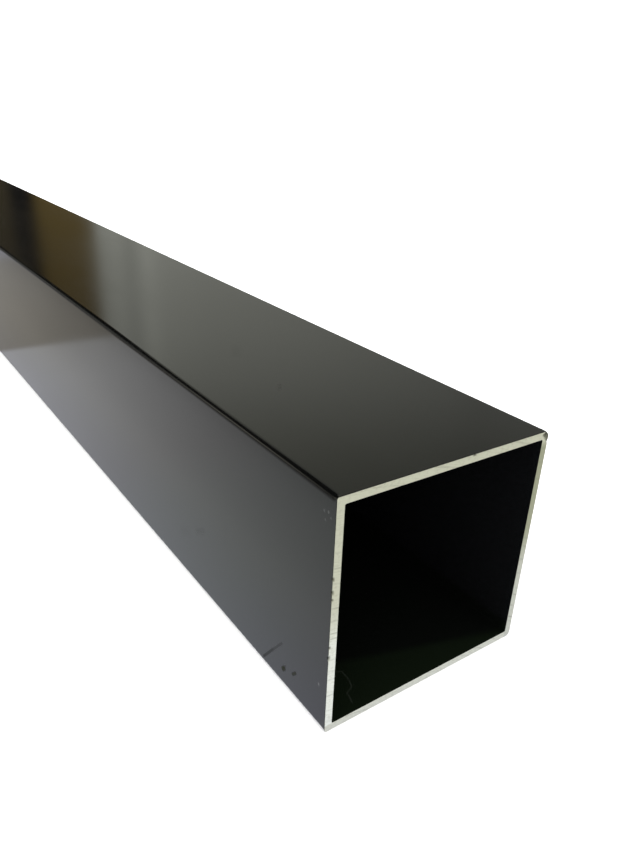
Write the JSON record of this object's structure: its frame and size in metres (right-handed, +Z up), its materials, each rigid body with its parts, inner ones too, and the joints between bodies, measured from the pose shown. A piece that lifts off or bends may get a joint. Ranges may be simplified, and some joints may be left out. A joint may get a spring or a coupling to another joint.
{
  "type": "square box section",
  "caption": "Plain square box section: a thin-walled square tube, open right through, sawn square at both ends, black with bare sawn edges.",
  "frame": {"origin": "centre of the underside, halfway along the length", "axes": "+X along the tube, +Z up out of the top face, +Y to the side; the tube lies on the plane z = 0"},
  "size_m": [0.5, 0.05, 0.05],
  "materials": {
    "black_anodised": "aluminium, anodised black inside and out, smooth semi-gloss; the two sawn end faces are bare pale metal"
  },
  "bodies": {
    "root": {"box_section": "black_anodised"}
  },
  "joints": []
}
